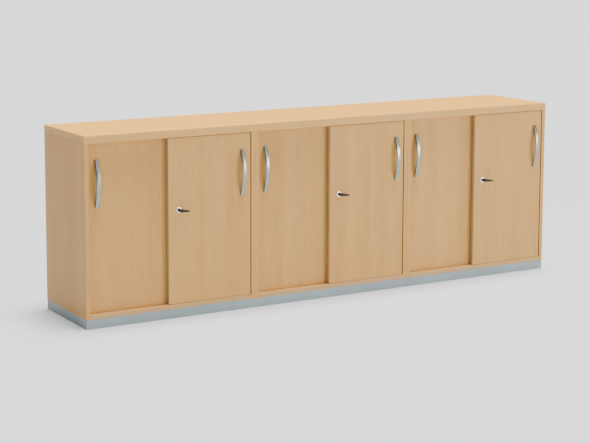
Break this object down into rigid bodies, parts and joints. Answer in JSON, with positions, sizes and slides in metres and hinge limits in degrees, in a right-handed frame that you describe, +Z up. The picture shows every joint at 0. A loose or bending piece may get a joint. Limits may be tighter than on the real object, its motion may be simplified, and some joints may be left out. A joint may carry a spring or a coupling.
{
  "type": "sliding door cabinet",
  "caption": "Long low office cabinet of ganged bays under one top board, each with two overlapping sliding doors, bow handles, a push lock and a folding key.",
  "frame": {"origin": "middle of the plinth's underside, where the cabinet stands on the floor", "axes": "+X along the cabinet's width to the viewer's right, +Y from the doors to the back, +Z up"},
  "size_m": [2.4, 0.468, 0.808],
  "materials": {
    "beech_board": "satin beech decor on chipboard",
    "back_board": "thin beech decor board",
    "plinth_paint": "silver grey powder coat",
    "handle_metal": "satin nickel",
    "lock_chrome": "bright nickel",
    "key_steel": "nickel plated",
    "key_plastic": "black moulded plastic",
    "glide_plastic": "dark moulded plastic",
    "track_plastic": "brown extruded plastic",
    "zinc_steel": "zinc plated"
  },
  "bodies": {
    "cabinet": {"top_board": "beech_board", "back_panels": "back_board", "shelves": "beech_board", "shelf_pins": "zinc_steel", "lower_tracks": "track_plastic", "upper_tracks": "track_plastic", "plinth_frame": "plinth_paint", "cam_connectors": "zinc_steel", "ganging_bolts": "zinc_steel", "left_bay_left_side": "beech_board", "left_bay_right_side": "beech_board", "left_bay_bottom": "beech_board", "middle_bay_left_side": "beech_board", "middle_bay_right_side": "beech_board", "middle_bay_bottom": "beech_board", "right_bay_left_side": "beech_board", "right_bay_right_side": "beech_board", "right_bay_bottom": "beech_board"},
    "left_rear_door": {"left_rear_door": "beech_board", "left_rear_door_runners": "glide_plastic", "left_rear_door_handle": "handle_metal", "left_rear_door_handle_screws": "zinc_steel", "left_lock_strike": "glide_plastic"},
    "left_front_door": {"left_front_door": "beech_board", "left_front_door_runners": "glide_plastic", "left_front_door_handle": "handle_metal", "left_front_door_handle_screws": "zinc_steel", "left_lock_housing": "lock_chrome"},
    "left_barrel": {"left_lock_barrel": "lock_chrome"},
    "left_key": {"left_lock_plug": "zinc_steel", "left_key_blade": "key_steel"},
    "left_bow": {"left_key_bow": "key_plastic"},
    "middle_rear_door": {"middle_rear_door": "beech_board", "middle_rear_door_runners": "glide_plastic", "middle_rear_door_handle": "handle_metal", "middle_rear_door_handle_screws": "zinc_steel", "middle_lock_strike": "glide_plastic"},
    "middle_front_door": {"middle_front_door": "beech_board", "middle_front_door_runners": "glide_plastic", "middle_front_door_handle": "handle_metal", "middle_front_door_handle_screws": "zinc_steel", "middle_lock_housing": "lock_chrome"},
    "middle_barrel": {"middle_lock_barrel": "lock_chrome"},
    "middle_key": {"middle_lock_plug": "zinc_steel", "middle_key_blade": "key_steel"},
    "middle_bow": {"middle_key_bow": "key_plastic"},
    "right_rear_door": {"right_rear_door": "beech_board", "right_rear_door_runners": "glide_plastic", "right_rear_door_handle": "handle_metal", "right_rear_door_handle_screws": "zinc_steel", "right_lock_strike": "glide_plastic"},
    "right_front_door": {"right_front_door": "beech_board", "right_front_door_runners": "glide_plastic", "right_front_door_handle": "handle_metal", "right_front_door_handle_screws": "zinc_steel", "right_lock_housing": "lock_chrome"},
    "right_barrel": {"right_lock_barrel": "lock_chrome"},
    "right_key": {"right_lock_plug": "zinc_steel", "right_key_blade": "key_steel"},
    "right_bow": {"right_key_bow": "key_plastic"}
  },
  "joints": [
    {"name": "left_rear_door_slide", "type": "slide", "parent": "cabinet", "child": "left_rear_door", "axis": [1, 0, 0], "range_m": [0, 0.3]},
    {"name": "left_front_door_slide", "type": "slide", "parent": "cabinet", "child": "left_front_door", "axis": [1, 0, 0], "range_m": [-0.3, 0]},
    {"name": "left_lock_push", "type": "slide", "parent": "left_front_door", "child": "left_barrel", "axis": [0, 1, 0], "range_m": [0, 0.005], "stiffness_N_per_m": 300, "springref_m": -0.005},
    {"name": "left_key_turn", "type": "hinge", "parent": "left_barrel", "child": "left_key", "pos_m": [-0.768, -0.2255, 0.464], "axis": [0, 1, 0], "range_deg": [0, 90]},
    {"name": "left_key_fold", "type": "hinge", "parent": "left_key", "child": "left_bow", "pos_m": [-0.768, -0.2255, 0.464], "axis": [0, 0, 1], "range_deg": [-135, 45]},
    {"name": "middle_rear_door_slide", "type": "slide", "parent": "cabinet", "child": "middle_rear_door", "axis": [1, 0, 0], "range_m": [0, 0.3]},
    {"name": "middle_front_door_slide", "type": "slide", "parent": "cabinet", "child": "middle_front_door", "axis": [1, 0, 0], "range_m": [-0.3, 0]},
    {"name": "middle_lock_push", "type": "slide", "parent": "middle_front_door", "child": "middle_barrel", "axis": [0, 1, 0], "range_m": [0, 0.005], "stiffness_N_per_m": 300, "springref_m": -0.005},
    {"name": "middle_key_turn", "type": "hinge", "parent": "middle_barrel", "child": "middle_key", "pos_m": [0.032, -0.2255, 0.464], "axis": [0, 1, 0], "range_deg": [0, 90]},
    {"name": "middle_key_fold", "type": "hinge", "parent": "middle_key", "child": "middle_bow", "pos_m": [0.032, -0.2255, 0.464], "axis": [0, 0, 1], "range_deg": [-135, 45]},
    {"name": "right_rear_door_slide", "type": "slide", "parent": "cabinet", "child": "right_rear_door", "axis": [1, 0, 0], "range_m": [0, 0.3]},
    {"name": "right_front_door_slide", "type": "slide", "parent": "cabinet", "child": "right_front_door", "axis": [1, 0, 0], "range_m": [-0.3, 0]},
    {"name": "right_lock_push", "type": "slide", "parent": "right_front_door", "child": "right_barrel", "axis": [0, 1, 0], "range_m": [0, 0.005], "stiffness_N_per_m": 300, "springref_m": -0.005},
    {"name": "right_key_turn", "type": "hinge", "parent": "right_barrel", "child": "right_key", "pos_m": [0.832, -0.2255, 0.464], "axis": [0, 1, 0], "range_deg": [0, 90]},
    {"name": "right_key_fold", "type": "hinge", "parent": "right_key", "child": "right_bow", "pos_m": [0.832, -0.2255, 0.464], "axis": [0, 0, 1], "range_deg": [-135, 45]}
  ]
}
